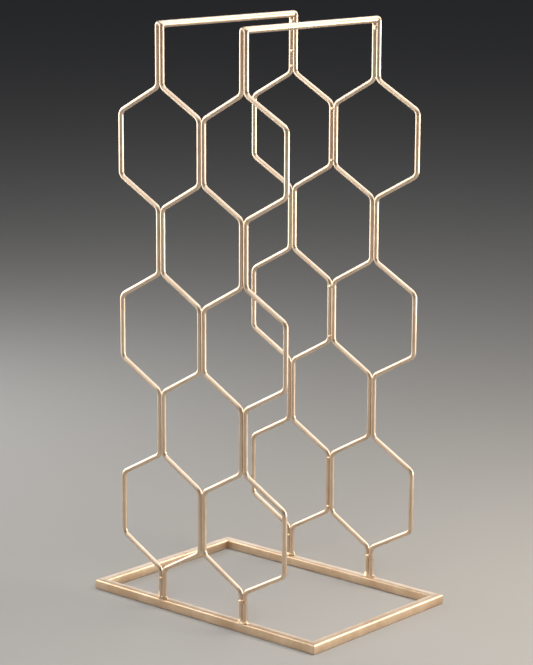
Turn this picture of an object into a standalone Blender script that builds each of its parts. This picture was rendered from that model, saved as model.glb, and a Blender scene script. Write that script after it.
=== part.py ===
"""Wine rack: honeycomb wire panels on a square-tube base, welded into one rigid frame.

Four wires are each folded double into a column of hexagonal cells. Two columns make
the front panel and two make the rear panel. A round bar joins each front column to the
rear column behind it, and the columns stand on a mitred frame of square tube.

Frame: metres, +Z up, +X to the right and +Y to the rear of the rack. The origin is on
the floor, under the middle of the base.
"""

import math

import bmesh
import bpy
from mathutils import Vector

# Clearance kept between pieces that touch.
GAP = 0.0003

# Base frame.
BASE_WIDTH = 0.300
BASE_DEPTH = 0.205
TUBE_SIDE = 0.010
TUBE_WALL = 0.001
TUBE_EDGE_RADIUS = 0.0010
BORE_OVERRUN = 1.2

# Wire columns. The outer side of each outer cell stands a little further out.
WIRE_DIAMETER = 0.005
WIRE_RADIUS = WIRE_DIAMETER / 2
BEND_RADIUS = 0.008
BEND_STEP = math.radians(22)
COLUMN_X = 0.055
CELLS_PER_COLUMN = 3
FOOT_RISE = 0.0321
SLANT_RISE = 0.0276
CELL_SIDE = 0.0644
PINCH_LENGTH = 0.0655
OUTER_WIDENING = 0.0015

# The wires stand just inside the base's outline, on the flat of the tubes.
PANEL_INSET = 0.0007

# The legs of a column run side by side, and so do the columns where they meet.
LEG_OFFSET = (WIRE_DIAMETER + GAP) / 2
INNER_REACH = COLUMN_X - LEG_OFFSET
OUTER_REACH = INNER_REACH + OUTER_WIDENING
PANEL_Y = BASE_DEPTH / 2 - WIRE_RADIUS - PANEL_INSET

# Heights above the floor.
RACK_HEIGHT = 0.596
WIRE_FOOT_Z = TUBE_SIDE + GAP
FIRST_SPLIT_Z = TUBE_SIDE + FOOT_RISE
CELL_HEIGHT = 2 * SLANT_RISE + CELL_SIDE
CELL_PITCH = CELL_HEIGHT + PINCH_LENGTH
LAST_SPLIT_Z = FIRST_SPLIT_Z + (CELLS_PER_COLUMN - 1) * CELL_PITCH + CELL_HEIGHT
ARCH_STEPS = 8
ARCH_CENTRE_Z = RACK_HEIGHT - WIRE_RADIUS - LEG_OFFSET

# Top bars.
BAR_DIAMETER = 0.007
BAR_LENGTH = 2 * (PANEL_Y - WIRE_RADIUS - GAP)
BAR_Z = RACK_HEIGHT - BAR_DIAMETER / 2

# Weld beads.
BEAD_RADIUS = 0.0009
BEAD_HALF_LENGTH = 0.0022
BEAD_GAP = 0.0001
FOOT_BEAD_RADIUS = 0.0014
FOOT_BEAD_HALF_LENGTH = 0.0022

# Heights of the beads in the grooves between two wires.
JOINT_BEAD_FROM_BEND = 0.0055
BAR_BEAD_Z = RACK_HEIGHT - BAR_DIAMETER - 0.0045
NECK_UPPER_BEAD_Z = LAST_SPLIT_Z + 0.0225
NECK_LOWER_BEAD_Z = LAST_SPLIT_Z + 0.0070
FOOT_UPPER_BEAD_Z = TUBE_SIDE + 0.0220
FOOT_LOWER_BEAD_Z = TUBE_SIDE + 0.0032

PANELS = {"front": -1, "rear": 1}
COLUMNS = {"left": -1, "right": 1}

FINISHES = {
    "wire": (0.62, 0.53, 0.41),
    "bar": (0.66, 0.58, 0.46),
    "tube": (0.60, 0.51, 0.40),
    "weld": (0.70, 0.63, 0.52),
}


def clear_scene():
    """Remove every object that the file opened with."""
    for item in list(bpy.data.objects):
        bpy.data.objects.remove(item, do_unlink=True)


def new_collection(name):
    """Make a collection under the scene's own."""
    collection = bpy.data.collections.new(name)
    bpy.context.scene.collection.children.link(collection)
    return collection


def move_to(item, collection):
    """Put an object in one collection only."""
    for owner in list(item.users_collection):
        owner.objects.unlink(item)
    collection.objects.link(item)


def paint(item, finish):
    """Give an object its own satin champagne metal material."""
    material = bpy.data.materials.new(item.name)
    material.use_nodes = True
    shader = material.node_tree.nodes["Principled BSDF"]
    shader.inputs["Base Color"].default_value = (*FINISHES[finish], 1.0)
    shader.inputs["Metallic"].default_value = 0.9
    shader.inputs["Roughness"].default_value = 0.35
    item.data.materials.clear()
    item.data.materials.append(material)


def smooth_round_faces(item):
    """Shade an object smooth, with its true edges kept sharp."""
    item.data.shade_smooth()
    item.data.set_sharp_from_angle(angle=math.radians(40))


def apply_scale(item):
    """Put an object's scale into its mesh."""
    for vertex in item.data.vertices:
        vertex.co = vertex.co * item.scale
    item.scale = (1, 1, 1)


def box(name, size, centre, turn=0.0):
    """Add a box of the given size, turned about Z."""
    bpy.ops.mesh.primitive_cube_add(size=1, location=centre, rotation=(0, 0, turn))
    item = bpy.context.object
    item.name = name
    item.scale = size
    apply_scale(item)
    return item


def subtract(item, cutter):
    """Cut one object out of another."""
    cut = item.modifiers.new(cutter.name, "BOOLEAN")
    cut.operation = "DIFFERENCE"
    cut.object = cutter
    move_to(cutter, cutters)
    cutter.hide_render = True
    cutter.display_type = "WIRE"


def base_tube(name, along_x, side):
    """One side of the base: a hollow square tube with both ends mitred."""
    length = BASE_WIDTH if along_x else BASE_DEPTH
    offset = side * ((BASE_DEPTH if along_x else BASE_WIDTH) - TUBE_SIDE) / 2
    turn = 0.0 if along_x else math.pi / 2
    centre = (0, offset, TUBE_SIDE / 2) if along_x else (offset, 0, TUBE_SIDE / 2)
    bore_side = TUBE_SIDE - 2 * TUBE_WALL
    tube = box(name, (length, TUBE_SIDE, TUBE_SIDE), centre, turn)

    edges = tube.modifiers.new("edge radius", "BEVEL")
    edges.width = TUBE_EDGE_RADIUS
    edges.segments = 2
    edges.limit_method = "ANGLE"

    bore = box(name + "_bore", (length * BORE_OVERRUN, bore_side, bore_side), centre, turn)
    subtract(tube, bore)

    # A mitre cutter is a large box turned 45 degrees, with one face on the mitre plane.
    cutter_side = 4 * TUBE_SIDE
    for end in (-1, 1):
        corner_x = end * BASE_WIDTH / 2 if along_x else side * BASE_WIDTH / 2
        corner_y = side * BASE_DEPTH / 2 if along_x else end * BASE_DEPTH / 2
        sign_x = math.copysign(1, corner_x)
        sign_y = math.copysign(1, corner_y)
        outward = Vector((sign_x, -sign_y, 0)) if along_x else Vector((-sign_x, sign_y, 0))
        outward.normalize()
        place = Vector((corner_x, corner_y, TUBE_SIDE / 2))
        place += outward * (cutter_side / 2 - GAP / 2)
        size = (cutter_side, cutter_side, 2 * TUBE_SIDE)
        mitre = box(f"{name}_mitre_{end:+d}", size, place, math.pi / 4)
        subtract(tube, mitre)

    paint(tube, "tube")
    move_to(tube, rack)
    return tube


def leg_corners(column_x, side, reach):
    """Corner points of one leg in X and Z, from its foot up to the start of the arch."""
    near_x = column_x + side * LEG_OFFSET
    far_x = column_x + side * reach
    corners = [(near_x, WIRE_FOOT_Z)]
    for cell in range(CELLS_PER_COLUMN):
        split_z = FIRST_SPLIT_Z + cell * CELL_PITCH
        corners.append((near_x, split_z))
        corners.append((far_x, split_z + SLANT_RISE))
        corners.append((far_x, split_z + SLANT_RISE + CELL_SIDE))
        corners.append((near_x, split_z + CELL_HEIGHT))
    corners.append((near_x, ARCH_CENTRE_Z))
    return [Vector(corner) for corner in corners]


def round_corners(corners):
    """Replace each corner of a path by an arc of the bend radius."""
    path = [corners[0]]
    for before, corner, after in zip(corners, corners[1:], corners[2:]):
        inward = (before - corner).normalized()
        onward = (after - corner).normalized()
        turn = math.pi - inward.angle(onward)
        tangent = BEND_RADIUS * math.tan(turn / 2)
        middle = (inward + onward).normalized()
        centre = corner + middle * BEND_RADIUS / math.cos(turn / 2)
        start = corner + inward * tangent - centre
        end = corner + onward * tangent - centre
        steps = max(2, math.ceil(turn / BEND_STEP))
        for step in range(steps + 1):
            share = step / steps
            from_start = math.sin((1 - share) * turn) / math.sin(turn)
            from_end = math.sin(share * turn) / math.sin(turn)
            path.append(centre + start * from_start + end * from_end)
    path.append(corners[-1])
    return path


def arch(column_x):
    """Points of the tight half circle that joins the two legs at the top."""
    points = []
    for step in range(1, ARCH_STEPS):
        angle = math.pi * (1 - step / ARCH_STEPS)
        x = column_x + LEG_OFFSET * math.cos(angle)
        z = ARCH_CENTRE_Z + LEG_OFFSET * math.sin(angle)
        points.append(Vector((x, z)))
    return points


def cell_wire(name, column_side, panel_side):
    """One wire: up the left leg, over the arch and down the right leg."""
    column_x = column_side * COLUMN_X
    left_reach = OUTER_REACH if column_side < 0 else INNER_REACH
    right_reach = OUTER_REACH if column_side > 0 else INNER_REACH
    left_leg = round_corners(leg_corners(column_x, -1, left_reach))
    right_leg = round_corners(leg_corners(column_x, 1, right_reach))
    path = left_leg + arch(column_x) + right_leg[::-1]

    curve = bpy.data.curves.new(name, "CURVE")
    curve.dimensions = "3D"
    curve.bevel_depth = WIRE_RADIUS
    curve.bevel_resolution = 3
    curve.use_fill_caps = True
    spline = curve.splines.new("POLY")
    spline.points.add(len(path) - 1)
    for point, place in zip(spline.points, path):
        point.co = (place.x, 0, place.y, 1)

    wire = bpy.data.objects.new(name, curve)
    wire.location.y = panel_side * PANEL_Y
    rack.objects.link(wire)
    paint(wire, "wire")
    return wire


def top_bar(name, column_side):
    """A round bar between the tops of a front and a rear column."""
    place = (column_side * COLUMN_X, 0, BAR_Z)
    bpy.ops.mesh.primitive_cylinder_add(
        vertices=20,
        radius=BAR_DIAMETER / 2,
        depth=BAR_LENGTH,
        location=place,
        rotation=(math.pi / 2, 0, 0),
    )
    bar = bpy.context.object
    bar.name = name
    smooth_round_faces(bar)
    paint(bar, "bar")
    move_to(bar, rack)
    return bar


def bead(name, place, half_sizes):
    """A small rounded weld bead."""
    mesh = bpy.data.meshes.new(name)
    shape = bmesh.new()
    bmesh.ops.create_uvsphere(shape, u_segments=8, v_segments=5, radius=1)
    bmesh.ops.scale(shape, vec=half_sizes, verts=shape.verts)
    shape.to_mesh(mesh)
    shape.free()
    item = bpy.data.objects.new(name, mesh)
    item.location = place
    rack.objects.link(item)
    item.data.shade_smooth()
    paint(item, "weld")
    return item


def groove_bead(name, x, z, panel_side, faces):
    """A bead in the groove between two wires, on the side of the panel that faces -Y or +Y."""
    reach = WIRE_RADIUS + BEAD_GAP + BEAD_RADIUS
    depth = math.sqrt(reach ** 2 - LEG_OFFSET ** 2)
    place = (x, panel_side * PANEL_Y + faces * depth, z)
    return bead(name, place, (BEAD_RADIUS, BEAD_RADIUS, BEAD_HALF_LENGTH))


def foot_bead(name, column_x, side, panel_side):
    """A bead on the tube, beside the foot of a column."""
    x = column_x + side * (LEG_OFFSET + WIRE_RADIUS + BEAD_GAP + FOOT_BEAD_RADIUS)
    y = panel_side * (PANEL_Y - TUBE_EDGE_RADIUS)
    place = (x, y, TUBE_SIDE + BEAD_GAP + FOOT_BEAD_RADIUS)
    return bead(name, place, (FOOT_BEAD_RADIUS, FOOT_BEAD_HALF_LENGTH, FOOT_BEAD_RADIUS))


def column_welds(panel, column):
    """The beads that close one column at its top and fix it at its foot."""
    panel_side = PANELS[panel]
    column_side = COLUMNS[column]
    x = column_side * COLUMN_X
    label = f"{panel}_{column}"

    # The bar butts on the inner face of the column's head.
    heads = {"bar": BAR_BEAD_Z}
    if column == "left":
        heads["neck_upper"] = NECK_UPPER_BEAD_Z
        heads["neck_lower"] = NECK_LOWER_BEAD_Z
    for part, z in heads.items():
        groove_bead(f"{label}_{part}_weld", x, z, panel_side, -panel_side)

    # Both panels show their foot beads towards -Y.
    feet = {"foot_upper": FOOT_UPPER_BEAD_Z, "foot_lower": FOOT_LOWER_BEAD_Z}
    for part, z in feet.items():
        groove_bead(f"{label}_{part}_weld", x, z, panel_side, -1)
    foot_bead(f"{label}_foot_outer_weld", x, column_side, panel_side)
    foot_bead(f"{label}_foot_inner_weld", x, -column_side, panel_side)


def joint_welds(panel):
    """The beads that join the left and right columns where their cells meet."""
    panel_side = PANELS[panel]
    rows = ("lower", "middle", "upper")
    for row in range(CELLS_PER_COLUMN):
        bottom = FIRST_SPLIT_Z + row * CELL_PITCH + SLANT_RISE
        top = bottom + CELL_SIDE
        ends = {"bottom": bottom + JOINT_BEAD_FROM_BEND, "top": top - JOINT_BEAD_FROM_BEND}
        for end, z in ends.items():
            groove_bead(f"{panel}_{rows[row]}_joint_{end}_weld", 0, z, panel_side, -panel_side)


clear_scene()
rack = new_collection("wine_rack")
cutters = new_collection("cutters")

base_tube("base_front_tube", True, -1)
base_tube("base_rear_tube", True, 1)
base_tube("base_left_tube", False, -1)
base_tube("base_right_tube", False, 1)
for panel_name, panel_sign in PANELS.items():
    for column_name, column_sign in COLUMNS.items():
        cell_wire(f"{panel_name}_{column_name}_cell_wire", column_sign, panel_sign)
        column_welds(panel_name, column_name)
    joint_welds(panel_name)
for column_name, column_sign in COLUMNS.items():
    top_bar(f"{column_name}_top_bar", column_sign)
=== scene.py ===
# %% [markdown]
# # A honeycomb wire wine rack
#
# The real rack is made of four bent wires, two round bars and a base of square tube. They
# are welded into one stiff frame, and all of it is then painted a satin champagne gold.
#
# The lesson loads a plain, rigid model of that frame, which fixes every place and size. It
# then builds a fine surface for each piece: wires with true bends, bars, hollow mitred
# tubes, lumpy weld beads and, at the end, the metallic paint.

import math
import random

import bmesh
import bpy
from mathutils import Euler, Matrix, Vector


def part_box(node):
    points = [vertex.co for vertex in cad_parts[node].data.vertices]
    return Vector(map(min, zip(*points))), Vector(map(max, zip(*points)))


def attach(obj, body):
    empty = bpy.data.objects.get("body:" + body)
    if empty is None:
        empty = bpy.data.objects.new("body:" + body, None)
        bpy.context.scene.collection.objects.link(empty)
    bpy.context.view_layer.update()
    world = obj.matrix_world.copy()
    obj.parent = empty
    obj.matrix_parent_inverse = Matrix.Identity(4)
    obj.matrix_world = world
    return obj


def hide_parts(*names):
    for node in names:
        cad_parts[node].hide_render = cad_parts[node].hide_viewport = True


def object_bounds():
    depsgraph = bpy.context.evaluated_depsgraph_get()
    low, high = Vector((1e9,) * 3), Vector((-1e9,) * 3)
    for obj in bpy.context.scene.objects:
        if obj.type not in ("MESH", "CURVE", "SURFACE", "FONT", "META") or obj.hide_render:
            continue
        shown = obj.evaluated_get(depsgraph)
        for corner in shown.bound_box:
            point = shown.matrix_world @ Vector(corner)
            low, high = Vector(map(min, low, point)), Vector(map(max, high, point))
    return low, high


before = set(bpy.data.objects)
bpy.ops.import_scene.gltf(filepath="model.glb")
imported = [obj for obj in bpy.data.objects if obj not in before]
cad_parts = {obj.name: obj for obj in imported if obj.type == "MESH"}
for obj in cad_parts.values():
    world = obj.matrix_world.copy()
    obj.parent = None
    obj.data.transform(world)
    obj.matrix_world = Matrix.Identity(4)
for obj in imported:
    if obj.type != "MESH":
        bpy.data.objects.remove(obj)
cad_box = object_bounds()
print("frame", [round(side, 4) for side in cad_box[1] - cad_box[0]], "metres")

# %% [markdown]
# ## Read the sizes
#
# Every place comes from the frame. The weld beads sit at known distances from the bends,
# so they give the heights of the cells, and the bead under a bar gives a column's axis.
# The few sizes below are what a maker would order: wire, rod and tube.

# %% Sizes of the stock
MM = 0.001
WIRE_RADIUS = 2.5 * MM
BAR_RADIUS = 3.5 * MM
TUBE_WALL = 1.0 * MM
TUBE_EDGE_RADIUS = 1.5 * MM
BEND_RADIUS = 8.0 * MM
LEG_OFFSET = 2.65 * MM

# %% Places taken from the frame
# A joint bead sits this far from the corner of its cell, and a slope climbs this much.
BEAD_FROM_BEND = 5.5 * MM
SLANT_RISE = 27.6 * MM
PANELS = {"front": -1, "rear": 1}
COLUMNS = {"left": -1, "right": 1}
ROWS = ("lower", "middle", "upper")


def centre_of(node):
    """Middle of a frame node's box."""
    low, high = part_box(node)
    return (low + high) / 2


wire_low, wire_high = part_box("front_left_cell_wire")
tube_low, tube_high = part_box("base_front_tube")
tube_side = tube_high.z - tube_low.z
panel_y = centre_of("rear_left_cell_wire").y
column_x = centre_of("rear_right_bar_weld").x
foot_z = wire_low.z
rack_top = wire_high.z
outer_reach = -column_x - wire_low.x - WIRE_RADIUS
inner_reach = column_x + wire_high.x - WIRE_RADIUS

cell_sides = []
for row in ROWS:
    bottom = centre_of(f"front_{row}_joint_bottom_weld").z - BEAD_FROM_BEND
    top = centre_of(f"front_{row}_joint_top_weld").z + BEAD_FROM_BEND
    cell_sides.append((bottom, top))
print("panel at", round(panel_y, 5), "column at", round(column_x, 5))
print("reach", round(outer_reach, 5), round(inner_reach, 5), "sides", cell_sides)

# %% [markdown]
# ## Hand tools
#
# Modelling by hand is a cycle: add a primitive, go into edit mode, pick some faces, push
# them about, and leave. A script needs the same steps, and it picks by place or normal
# where a hand would click. An edit tool acts on all that is selected, so each pick starts
# from nothing.


# %% Helpers for edit mode
def open_piece(name):
    """Name the new primitive, put its place into its mesh and open it, all deselected."""
    piece = bpy.context.object
    piece.name = name
    piece.data.name = name
    bpy.ops.object.transform_apply(location=True, rotation=True, scale=True)
    bpy.ops.object.mode_set(mode="EDIT")
    bpy.ops.mesh.select_all(action="DESELECT")
    return piece


def pick(piece, kind, wanted):
    """Select the VERT, EDGE or FACE parts that pass a test, and nothing else."""
    bpy.ops.mesh.select_mode(type=kind)
    bpy.ops.mesh.select_all(action="DESELECT")
    mesh = bmesh.from_edit_mesh(piece.data)
    parts = {"VERT": mesh.verts, "EDGE": mesh.edges, "FACE": mesh.faces}[kind]
    for part in parts:
        if wanted(part):
            part.select = True
    mesh.select_flush_mode()
    bmesh.update_edit_mesh(piece.data)


def close_piece(piece, smooth_below):
    """Merge doubles, face the skin outwards and shade it smooth up to an angle."""
    bpy.ops.mesh.select_all(action="SELECT")
    bpy.ops.mesh.remove_doubles(threshold=0.005 * MM)
    bpy.ops.mesh.normals_make_consistent(inside=False)
    bpy.ops.object.mode_set(mode="OBJECT")
    bpy.ops.object.shade_smooth_by_angle(angle=math.radians(smooth_below))
    return piece


def round_off(piece, levels):
    """Smooth a lumpy shape with a subdivision that is applied."""
    subdivide = piece.modifiers.new("rounding", "SUBSURF")
    subdivide.levels = levels
    subdivide.render_levels = levels
    bpy.ops.object.modifier_apply(modifier=subdivide.name)


def copy_piece(source, name, change):
    """Copy a piece with its own mesh, moved or mirrored by a matrix."""
    piece = source.copy()
    piece.data = source.data.copy()
    piece.name = name
    piece.data.name = name
    piece.data.transform(change)
    if change.determinant() < 0:
        piece.data.flip_normals()
    bpy.context.collection.objects.link(piece)
    return piece


def mount(piece, slot, paint, *nodes):
    """Paint a finished piece and let it stand for its frame nodes."""
    piece.data.materials.clear()
    piece.data.materials.append(paint)
    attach(piece, "root")
    if nodes:
        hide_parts(*nodes)
    print(piece.name, len(piece.data.polygons), "faces")


bpy.ops.object.select_all(action="DESELECT")

# %% [markdown]
# ## The paint
#
# The rack has a satin metallic powder coat in champagne gold. The binder carries fine
# aluminium and mica flakes, so it reflects like a metal with a warm tint, but softly,
# because the flakes lie at many small angles. Powder melts and flows in the oven, which
# leaves a faint orange-peel of some 2 to 3 mm, and the flakes bunch a little in patches.
# The eye reads this as bright, broad highlights on tan shade, with a slight sparkle.
#
# A Principled shader with a high metallic value gives the tint in its reflections. A soft
# clear coat over it stands for the binder, whose own reflections are white, so a rim that
# turns away from the eye goes from tan to cream. One recipe makes every finish, and only
# One recipe makes every finish, and only its numbers change from wire to weld. On the weld they
# darken the tan and mottle it more strongly, as painted shade of the pits in the bead.


# %% Helpers for paint
def linear(hex_colour):
    """An sRGB hex colour as linear RGBA."""
    channels = [int(hex_colour[i:i + 2], 16) / 255 for i in (1, 3, 5)]
    curve = [c / 12.92 if c <= 0.04045 else ((c + 0.055) / 1.055) ** 2.4 for c in channels]
    return (*curve, 1.0)


def add_node(tree, kind, settings, links):
    """Add a node, set its properties and inputs, and link outputs of other nodes to it."""
    node = tree.nodes.new(kind)
    for key, value in settings.items():
        if isinstance(key, int) or key in node.inputs:
            node.inputs[key].default_value = value
        else:
            setattr(node, key, value)
    for key, output in links.items():
        tree.links.new(output, node.inputs[key])
    return node


def pattern_scale(size):
    """Noise scale that gives marks of a real size on Object coordinates, in metres."""
    return 1.0 / size


DRIFT_SIZE = 28 * MM
FLAKE_SIZE = 1.1 * MM
PEEL_SIZE = 2.6 * MM
FLAKE_SHARE = 0.55
TINT_MIDDLE = 0.78
TINT_SPREAD = 0.28


def champagne_paint(name, roughness, peel_depth, grit_depth, shade, light, contrast=1.0):
    """Satin metallic powder coat. Depths are in metres, colours are sRGB hex."""
    material = bpy.data.materials.new(name)
    material.use_nodes = True
    tree = material.node_tree
    shader = tree.nodes["Principled BSDF"]
    shader.inputs["Metallic"].default_value = 0.92
    shader.inputs["Coat Weight"].default_value = 0.7
    shader.inputs["Coat Roughness"].default_value = 0.2
    place = add_node(tree, "ShaderNodeTexCoord", {}, {})

    # Slow drift and fine flakes: the tan is never quite even.
    drift = add_node(
        tree,
        "ShaderNodeTexNoise",
        {"Scale": pattern_scale(DRIFT_SIZE), "Detail": 3.0, "Roughness": 0.55},
        {"Vector": place.outputs["Object"]},
    )
    flake = add_node(
        tree,
        "ShaderNodeTexNoise",
        {"Scale": pattern_scale(FLAKE_SIZE), "Detail": 2.0, "Roughness": 0.7},
        {"Vector": place.outputs["Object"]},
    )
    blend = add_node(
        tree,
        "ShaderNodeMath",
        {"operation": "MULTIPLY_ADD", 1: FLAKE_SHARE},
        {0: flake.outputs["Fac"]},
    )
    tree.links.new(drift.outputs["Fac"], blend.inputs[2])
    spread = TINT_SPREAD / contrast
    tint = add_node(
        tree,
        "ShaderNodeMapRange",
        {"From Min": TINT_MIDDLE - spread, "From Max": TINT_MIDDLE + spread},
        {"Value": blend.outputs[0]},
    )
    colour = add_node(
        tree,
        "ShaderNodeMix",
        {"data_type": "RGBA"},
        {"Factor": tint.outputs["Result"]},
    )
    colour.inputs["A"].default_value = linear(shade)
    colour.inputs["B"].default_value = linear(light)
    tree.links.new(colour.outputs["Result"], shader.inputs["Base Color"])

    # Flakes that lie flatter are a little glossier: a faint sparkle in the highlights.
    satin = add_node(
        tree,
        "ShaderNodeMapRange",
        {
            "From Min": 0.3,
            "From Max": 0.7,
            "To Min": roughness - 0.05,
            "To Max": roughness + 0.06,
        },
        {"Value": flake.outputs["Fac"]},
    )
    tree.links.new(satin.outputs["Result"], shader.inputs["Roughness"])

    # Orange peel and grit: the edges of the highlights waver slightly.
    peel = add_node(
        tree,
        "ShaderNodeTexNoise",
        {"Scale": pattern_scale(PEEL_SIZE), "Detail": 1.0},
        {"Vector": place.outputs["Object"]},
    )
    waves = add_node(
        tree,
        "ShaderNodeBump",
        {"Strength": 1.0, "Distance": peel_depth},
        {"Height": peel.outputs["Fac"]},
    )
    grit = add_node(
        tree,
        "ShaderNodeBump",
        {"Strength": 1.0, "Distance": grit_depth},
        {"Height": flake.outputs["Fac"], "Normal": waves.outputs["Normal"]},
    )
    tree.links.new(grit.outputs["Normal"], shader.inputs["Normal"])
    return material


# %% The four finishes
wire_paint = champagne_paint(
    "champagne_powder_coat_on_wire", 0.37, 0.012 * MM, 0.0015 * MM, "#D8BDA1", "#EBD6BD"
)
bar_paint = champagne_paint(
    "champagne_powder_coat_on_bar", 0.34, 0.012 * MM, 0.002 * MM, "#DABE9F", "#ECD6BA"
)
tube_paint = champagne_paint(
    "champagne_powder_coat_on_tube", 0.41, 0.03 * MM, 0.009 * MM, "#D6B592", "#EFD4B4", 1.5
)
# The weld's darker tone and stronger contrast give dark patches that are painted shade of its
# pits, spread at random by the noise.
weld_paint_with_pit_shade = champagne_paint(
    "champagne_powder_coat_with_painted_pit_shade_on_weld", 0.38, 0.20 * MM, 0.025 * MM, "#CBA67E", "#EFD7B6", 1.4
)
print("paints", [m.name for m in (wire_paint, bar_paint, tube_paint, weld_paint_with_pit_shade)])

# %% [markdown]
# ## The base
#
# Four lengths of 10 mm square tube are cut at 45 degrees, set in a rectangle and welded at
# the corners, and the welds are ground flush. A cold-formed tube has rounded edges, and
# those edges catch the light as one long white line.
#
# Each tube could be a box with Solidify, but the edge radius and the mitre are cleaner on a
# solid: bevel the long edges, slice off both ends at 45 degrees, inset the two cut faces by
# the wall and bridge them, which opens the bore. The short sides are the same tube again
# with another length.

# %% Cut a mitred tube
SEAM_GAP = 0.2 * MM
EDGE_SEGMENTS = 4
base_size = cad_box[1] - cad_box[0]
print("base", base_size, "tube", tube_side)


def mitred_tube(name, length, across):
    """A tube along X, mitred at both ends, on the -Y side of a base of the given size."""
    bpy.ops.mesh.primitive_cube_add(
        size=1,
        location=(0, (tube_side - across) / 2, tube_side / 2),
        scale=(length + tube_side, tube_side, tube_side),
    )
    tube = open_piece(name)
    pick(tube, "EDGE", lambda edge: abs((edge.verts[0].co - edge.verts[1].co).x) > length / 2)
    bpy.ops.mesh.bevel(offset=TUBE_EDGE_RADIUS, segments=EDGE_SEGMENTS, affect="EDGES")
    for end in (-1, 1):
        bpy.ops.mesh.select_all(action="SELECT")
        bpy.ops.mesh.bisect(
            plane_co=(end * (length - SEAM_GAP) / 2, -across / 2, 0),
            plane_no=(end * math.sqrt(0.5), math.sqrt(0.5), 0),
            use_fill=True,
            clear_outer=True,
        )
    # The two cut faces are the only ones that look to X at a slant.
    pick(tube, "FACE", lambda face: 0.5 < abs(face.normal.x) < 0.9)
    bpy.ops.mesh.inset(thickness=TUBE_WALL, use_individual=True)
    bpy.ops.mesh.bridge_edge_loops()
    return close_piece(tube, 30)


# %% Lay the four tubes
front_tube = mitred_tube("front_base_tube", base_size.x, base_size.y)
half_turn = Matrix.Rotation(math.pi, 4, "Z")
rear_tube = copy_piece(front_tube, "rear_base_tube", half_turn)
left_tube = mitred_tube("left_base_tube", base_size.y, base_size.x)
left_tube.data.transform(Matrix.Rotation(-math.pi / 2, 4, "Z"))
right_tube = copy_piece(left_tube, "right_base_tube", half_turn)
mount(front_tube, "base_tube", tube_paint, "base_front_tube")
mount(rear_tube, "base_tube", tube_paint, "base_rear_tube")
mount(left_tube, "base_tube", tube_paint, "base_left_tube")
mount(right_tube, "base_tube", tube_paint, "base_right_tube")

# %% [markdown]
# ## The wires
#
# One 5 mm steel wire makes a whole column: it goes up one leg, round a tight hairpin at the
# top and down the other leg. A wire bender shapes it with two moves, a straight feed and a
# bend round a former, and the same two moves build it here. A filled circle is the cut end
# of the wire. Extruding that face feeds it, and spinning it bends it.
#
# A curve with a round bevel would be quicker, but the two moves keep the section exactly
# round through every bend, and the program of feeds and bends reads like the real job.

# %% Work out the feeds and bends
WIRE_SIDES = 24
BEND_STEP = math.radians(8)


def leg_corners(axis, side, reach):
    """Corners of one leg in X and Z, from the foot up to the hairpin."""
    near = axis + side * LEG_OFFSET
    far = axis + side * reach
    corners = [(near, foot_z)]
    for low, high in cell_sides:
        corners.append((near, low - SLANT_RISE))
        corners.append((far, low))
        corners.append((far, high))
        corners.append((near, high + SLANT_RISE))
    corners.append((near, rack_top - WIRE_RADIUS - LEG_OFFSET))
    return [Vector(corner) for corner in corners]


def bend_program(corners):
    """Feeds, and turns to the right, that follow a path of corners."""
    moves = []
    spent = 0.0
    for before, corner, after in zip(corners, corners[1:], corners[2:]):
        turn = (corner - before).angle_signed(after - corner)
        tangent = BEND_RADIUS * math.tan(abs(turn) / 2)
        moves.append(((corner - before).length - spent - tangent, turn, BEND_RADIUS))
        spent = tangent
    moves.append(((corners[-1] - corners[-2]).length - spent, 0.0, BEND_RADIUS))
    return moves


# %% Run the wire bender
def feed_and_bend(end, heading, moves):
    """Extrude and spin the picked face along a bend program, in the plane of a panel."""
    for feed, turn, radius in moves:
        bpy.ops.mesh.extrude_region_move(TRANSFORM_OT_translate={"value": heading * feed})
        end = end + heading * feed
        if turn:
            side = math.copysign(1, turn)
            centre = end + Vector((heading.z, 0, -heading.x)) * side * radius
            steps = math.ceil(abs(turn) / BEND_STEP)
            bpy.ops.mesh.spin(
                steps=steps, angle=abs(turn), center=centre, axis=(0, -side, 0)
            )
            swing = Matrix.Rotation(turn, 3, "Y")
            end = centre + swing @ (end - centre)
            heading = swing @ heading
    return end


def bent_wire(name, axis, y):
    """One column of a panel, as a single wire."""
    up = leg_corners(axis, -1, outer_reach)
    down = leg_corners(axis, 1, inner_reach)
    climb = bend_program(up)
    straight, _, _ = climb.pop()
    moves = climb + [(straight, math.pi, LEG_OFFSET)] + bend_program(down[::-1])
    foot = Vector((up[0].x, y, up[0].y))
    bpy.ops.mesh.primitive_circle_add(
        vertices=WIRE_SIDES, radius=WIRE_RADIUS, fill_type="NGON", location=foot
    )
    wire = open_piece(name)
    bpy.ops.mesh.select_mode(type="FACE")
    bpy.ops.mesh.select_all(action="SELECT")
    end = feed_and_bend(foot, Vector((0, 0, 1)), moves)
    print("last foot at", [round(value / MM, 2) for value in end], "mm")
    return close_piece(wire, 40)


# %% Bend one wire and copy it
front_left_wire = bent_wire("front_left_bent_wire", -column_x, -panel_y)
mirror = Matrix.Diagonal((-1, 1, 1, 1))
to_rear = Matrix.Translation((0, 2 * panel_y, 0))
front_right_wire = copy_piece(front_left_wire, "front_right_bent_wire", mirror)
rear_left_wire = copy_piece(front_left_wire, "rear_left_bent_wire", to_rear)
rear_right_wire = copy_piece(front_right_wire, "rear_right_bent_wire", to_rear)
mount(front_left_wire, "cell_wire", wire_paint, "front_left_cell_wire")
mount(front_right_wire, "cell_wire", wire_paint, "front_right_cell_wire")
mount(rear_left_wire, "cell_wire", wire_paint, "rear_left_cell_wire")
mount(rear_right_wire, "cell_wire", wire_paint, "rear_right_cell_wire")

# %% [markdown]
# ## The top bars
#
# A 7 mm round bar runs from each front column to the rear one. Its ends are pushed against
# the wires and welded all round, and the weld swells a little past the bar.
#
# A plain cylinder is the bar itself. Each end face is then extruded and scaled a few times,
# which draws out the swollen collar of weld and its rounded rim.

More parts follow.
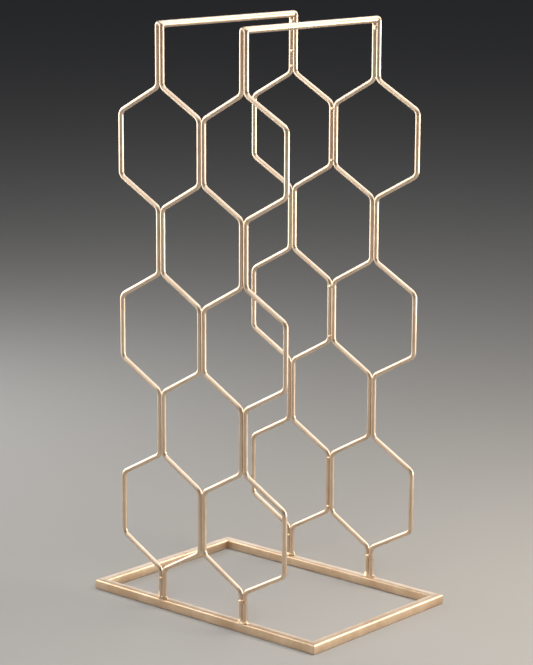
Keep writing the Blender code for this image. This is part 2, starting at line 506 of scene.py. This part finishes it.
# %% Turn a bar with a weld collar at each end
BAR_SIDES = 32
BAR_BITE = 1.2 * MM  # how far the weld reaches into the wire
COLLAR = ((0.8, 1.03), (0.7, 1.02), (0.6, 1.00), (0.5, 0.92))  # mm along, then swell
bar_z = centre_of("left_top_bar").z
collar_length = sum(step for step, _ in COLLAR) * MM
bar_reach = panel_y - WIRE_RADIUS + BAR_BITE


def welded_bar(name, x):
    """A round bar along Y, with a lumpy collar of weld at both ends."""
    bpy.ops.mesh.primitive_cylinder_add(
        vertices=BAR_SIDES,
        radius=BAR_RADIUS,
        depth=2 * (bar_reach - collar_length),
        location=(x, 0, bar_z),
        rotation=(math.pi / 2, 0, 0),
    )
    bar = open_piece(name)
    for end in (-1, 1):
        pick(bar, "FACE", lambda face: face.normal.y * end > 0.9)
        place = Vector((x, end * (bar_reach - collar_length), bar_z))
        for step, swell in COLLAR:
            bpy.ops.mesh.extrude_region_move(
                TRANSFORM_OT_translate={"value": (0, end * step * MM, 0)}
            )
            place.y += end * step * MM
            bpy.ops.transform.resize(value=(swell, 1, swell), center_override=place)
    return close_piece(bar, 50)


left_bar = welded_bar("left_round_bar", -column_x)
right_bar = copy_piece(left_bar, "right_round_bar", Matrix.Translation((2 * column_x, 0, 0)))
mount(left_bar, "top_bar", bar_paint, "left_top_bar")
mount(right_bar, "top_bar", bar_paint, "right_top_bar")

# %% [markdown]
# ## The tack welds
#
# Short tacks bridge the groove between two wires: where two columns touch, in the necks of
# the left columns and under the bars. Each is a small puddle of metal that froze as a low
# dome, wider than the groove, and no two are quite alike.
#
# The puddle starts as a sphere. Its front is inset and pushed in for a faint dimple, its
# points are shaken a little and a subdivision rounds it again. It is modelled once, and
# every copy is turned and stretched by a small seeded amount.

# %% Model one tack, one unit in radius
TACK_RIM = 0.10
TACK_DIMPLE = 0.05
TACK_SHAKE = 0.07
bpy.ops.mesh.primitive_uv_sphere_add(
    segments=14, ring_count=9, radius=1, rotation=(math.pi / 2, 0, 0)
)
tack_pattern = open_piece("tack_pattern")
pick(tack_pattern, "FACE", lambda face: face.normal.y < -0.85)
bpy.ops.mesh.inset(thickness=TACK_RIM)
bpy.ops.transform.translate(value=(0, TACK_DIMPLE, 0))
bpy.ops.mesh.select_all(action="SELECT")
bpy.ops.transform.vertex_random(offset=TACK_SHAKE, uniform=0.0, normal=1.0, seed=3)
bpy.ops.mesh.normals_make_consistent(inside=False)
bpy.ops.object.mode_set(mode="OBJECT")
round_off(tack_pattern, 1)
bpy.ops.object.shade_smooth()
print("tack", len(tack_pattern.data.polygons), "faces")

# %% Set the tacks in their grooves
TACK_RADII = Vector((3.3, 1.7, 2.2)) * MM
TACK_DEPTH = 1.4 * MM
TACK_VARIETY = 0.1
TACK_LEAN = 0.2
COMMON_TACK = Vector((1, 1, 1))
LARGE_TACK = Vector((1.35, 1.35, 1.35))
BAR_TACK = Vector((1.15, 1.1, 1.75))
tack_dice = random.Random(7)


def groove_tack(node, faces, size=COMMON_TACK):
    """A tack that stands for a bead of the frame, in a groove that opens to -Y or +Y."""
    bead = centre_of(node)
    panel_side = math.copysign(1, bead.y)
    place = Vector((bead.x, panel_side * panel_y + faces * TACK_DEPTH, bead.z))
    turn = 0.0 if faces < 0 else math.pi
    stretch = [
        radius * tack_dice.uniform(1 - TACK_VARIETY, 1 + TACK_VARIETY)
        for radius in TACK_RADII * size
    ]
    lean = [tack_dice.uniform(-TACK_LEAN, TACK_LEAN) for _ in range(3)]
    tack = copy_piece(
        tack_pattern,
        node.replace("_weld", "_tack"),
        Matrix.Translation(place)
        @ Matrix.Rotation(turn, 4, "Z")
        @ Matrix.Diagonal((*stretch, 1))
        @ Euler(lean).to_matrix().to_4x4(),
    )
    mount(tack, "weld_bead", weld_paint_with_pit_shade, node)


for panel, panel_side in PANELS.items():
    for row in ROWS:
        groove_tack(f"{panel}_{row}_joint_bottom_weld", -panel_side)
        groove_tack(f"{panel}_{row}_joint_top_weld", -panel_side)
    groove_tack(f"{panel}_left_neck_upper_weld", -panel_side)
    groove_tack(f"{panel}_left_neck_lower_weld", -panel_side)
    for column in COLUMNS:
        groove_tack(f"{panel}_{column}_bar_weld", -panel_side, BAR_TACK)
        large = LARGE_TACK if column == "right" else COMMON_TACK
        groove_tack(f"{panel}_{column}_foot_upper_weld", -1, large)

# %% [markdown]
# ## The foot welds
#
# The two ends of each wire stand on the base and are welded all round by hand. More metal
# goes in here than in a tack. It spreads on the tube in an uneven skirt, fills the groove,
# and climbs the outer side of one wire where the welder lingered.
#
# A filled circle, stretched to an oval, is the edge of the puddle on the tube. A few
# extrusions, each narrower, raise the skirt. Some of its points are then pulled up the
# wire, all are shaken, and a subdivision melts the steps into lumps. One weld is modelled
# and copied to the four feet, turned and stretched so that they differ.

# %% Model one foot weld
PUDDLE_LENGTH = 13.8 * MM
PUDDLE_WIDTH = 8.4 * MM
PUDDLE_SINK = 0.4 * MM
PUDDLE_SIDES = 26
SKIRT = ((0.9, 1.02), (0.8, 0.93), (0.9, 0.86), (0.8, 0.88), (0.5, 0.80))  # mm up, then shrink
CLIMB = Vector((0.3, 0.3, 3.2)) * MM
CLIMB_FROM = 1.8 * MM
CLIMB_SIDE = 0.8 * MM
FOOT_SHAKE = 0.42 * MM
bpy.ops.mesh.primitive_circle_add(
    vertices=PUDDLE_SIDES,
    radius=PUDDLE_LENGTH / 2,
    fill_type="NGON",
    location=(0, 0, -PUDDLE_SINK),
)
foot_pattern = open_piece("foot_weld_pattern")
bpy.ops.mesh.select_mode(type="FACE")
bpy.ops.mesh.select_all(action="SELECT")
skirt_top = Vector((0, 0, -PUDDLE_SINK))
bpy.ops.transform.resize(
    value=(1, PUDDLE_WIDTH / PUDDLE_LENGTH, 1), center_override=skirt_top
)
for rise, shrink in SKIRT:
    bpy.ops.mesh.extrude_region_move(TRANSFORM_OT_translate={"value": (0, 0, rise * MM)})
    skirt_top.z += rise * MM
    bpy.ops.transform.resize(value=(shrink, shrink, 1), center_override=skirt_top)


def on_climbing_side(vert):
    """Points high on the skirt, on the front and outer side of the left wire."""
    x, y, z = vert.co
    return z > CLIMB_FROM and x < -CLIMB_SIDE and y < CLIMB_SIDE


pick(foot_pattern, "VERT", on_climbing_side)
bpy.ops.transform.translate(value=CLIMB)
bpy.ops.mesh.select_all(action="SELECT")
bpy.ops.transform.vertex_random(offset=FOOT_SHAKE, uniform=0.2, normal=0.8, seed=5)
bpy.ops.mesh.normals_make_consistent(inside=False)
bpy.ops.object.mode_set(mode="OBJECT")
round_off(foot_pattern, 2)
bpy.ops.object.shade_smooth()
print("foot weld", len(foot_pattern.data.polygons), "faces")

# %% Set a weld round each foot
FOOT_SHAPES = {  # turn in degrees, and height against the pattern
    "front_left": (4, 1.2),
    "front_right": (-6, 0.85),
    "rear_left": (183, 0.9),
    "rear_right": (8, 0.75),
}
FOOT_VARIETY = (0.93, 1.04)
foot_dice = random.Random(21)
for panel, panel_side in PANELS.items():
    for column, column_side in COLUMNS.items():
        foot = f"{panel}_{column}"
        turn, height = FOOT_SHAPES[foot]
        place = Vector((column_side * column_x, panel_side * panel_y, tube_side))
        width, depth = (foot_dice.uniform(*FOOT_VARIETY) for _ in range(2))
        weld = copy_piece(
            foot_pattern,
            f"{foot}_foot_weld",
            Matrix.Translation(place)
            @ Matrix.Rotation(math.radians(turn), 4, "Z")
            @ Matrix.Diagonal((width, depth, height, 1)),
        )
        mount(
            weld,
            "weld_bead",
            weld_paint_with_pit_shade,
            f"{foot}_foot_lower_weld",
            f"{foot}_foot_outer_weld",
            f"{foot}_foot_inner_weld",
        )

# %% Clear the bench
for pattern in (tack_pattern, foot_pattern):
    bpy.data.objects.remove(pattern, do_unlink=True)

# %% [markdown]
# ## Floor and light
#
# A plain pale floor carries the rack. Satin metal shows the lights more than its own
# colour, so each group of surfaces needs something of the right size to reflect. An
# upright wire needs a strip on its left and one on its right, which give it two bright
# rims with a tan band between them. The bars and the sloping wires need a softbox behind
# them and a card above, and the flat tops of the base need a card far behind.
#
# The strips, cards and softbox show only in reflections. If they lit the floor too, they
# would burn bright patches into it. The floor has its own lights, an even one from above
# and a few soft pools, and the lower wires and the sides of the base reflect those.

# %% Floor
FLOOR_SIZE = 60
bpy.ops.mesh.primitive_plane_add(size=FLOOR_SIZE, location=(0, 0, 0))
floor = bpy.context.object
floor.name = "floor"
matt = bpy.data.materials.new("pale_matt_floor")
matt.use_nodes = True
matt_shader = matt.node_tree.nodes["Principled BSDF"]
matt_shader.inputs["Base Color"].default_value = linear("#ACABA9")
matt_shader.inputs["Roughness"].default_value = 0.9
matt_shader.inputs["Specular IOR Level"].default_value = 0.0
floor.data.materials.append(matt)

# %% Lights round the rack
LIGHT_AIM = Vector((0, 0, 0.25))


def soft_light(
    name,
    azimuth,
    distance,
    height,
    size,
    radiance,
    colour="#FFFFFF",
    aim=LIGHT_AIM,
    on_floor=True,
    in_gloss=True,
):
    """A large area light. Azimuth is in degrees from +X, radiance in watts per m2 and sr."""
    lamp = bpy.data.lights.new(name, "AREA")
    lamp.shape = "RECTANGLE"
    lamp.size, lamp.size_y = size
    lamp.energy = radiance * math.pi * size[0] * size[1]
    lamp.color = linear(colour)[:3]
    light = bpy.data.objects.new(name, lamp)
    turn = math.radians(azimuth)
    light.location = (distance * math.cos(turn), distance * math.sin(turn), height)
    light.rotation_mode = "QUATERNION"
    light.rotation_quaternion = (light.location - aim).to_track_quat("Z", "Y")
    light.visible_camera = False
    light.visible_diffuse = on_floor
    light.visible_glossy = in_gloss
    bpy.context.collection.objects.link(light)


soft_light("right_strip", 48, 1.35, 0.38, (2.2, 0.75), 4.4, "#FFFAF3", on_floor=False)
soft_light("left_strip", 194, 1.25, 0.55, (1.7, 1.05), 3.6, "#FFFAF3", on_floor=False)
soft_light("window_softbox", 80, 1.9, 1.8, (2.6, 1.5), 2.3, "#FFFCF8", on_floor=False)
soft_light("front_fill", 250, 1.6, 1.35, (1.4, 1.7), 0.85)
soft_light("back_card", 131, 3.4, 0.9, (2.6, 0.9), 1.7, on_floor=False)
soft_light("ceiling_card", 30, 0.3, 2.4, (2.8, 2.8), 1.5, on_floor=False)

# %% Pools of light on the floor
NEAR_FLOOR = Vector((1.5, -1.7, 0))
RIGHT_FLOOR = Vector((0.45, 0.3, 0))
LEFT_FLOOR = Vector((-0.85, 0, 0))
soft_light("floor_fill", 30, 0.3, 3.0, (2.5, 2.5), 1.3, in_gloss=False)
soft_light("near_pool", -48.6, 2.5, 1.6, (1.6, 1.6), 8.0, aim=NEAR_FLOOR, in_gloss=False)
soft_light("right_pool", 30, 0.75, 0.9, (0.6, 0.6), 7.5, "#FFF0DC", RIGHT_FLOOR, in_gloss=False)
soft_light("left_pool", 180, 1.1, 0.8, (0.6, 0.6), 5.0, aim=LEFT_FLOOR, in_gloss=False)

# %% The dim room
world = bpy.data.worlds.new("studio")
world.use_nodes = True
backdrop = world.node_tree.nodes["Background"]
backdrop.inputs["Color"].default_value = linear("#9A9DA6")
backdrop.inputs["Strength"].default_value = 0.13
bpy.context.scene.world = world

# %% [markdown]
# ## Camera
#
# The camera stands at the front right of the rack, a little above its top, and looks down
# by 12 degrees through a long lens.

# %% Camera
lens = bpy.data.cameras.new("camera")
lens.sensor_width = 36
lens.lens = 122.04
camera = bpy.data.objects.new("camera", lens)
camera.location = (1.47256, -1.67566, 0.75894)
camera.rotation_euler = [math.radians(angle) for angle in (77.880, -0.233, 41.417)]
bpy.context.collection.objects.link(camera)
bpy.context.scene.camera = camera

# %% [markdown]
# ## Tone
#
# A plain tone curve suits pale metal on a darker ground. The bars and the rims of the wires
# may run into clean white, and the tan between them keeps its strength.

# %% Plain tone curve
bpy.context.scene.view_settings.view_transform = "Standard"
print("tone", bpy.context.scene.view_settings.view_transform)
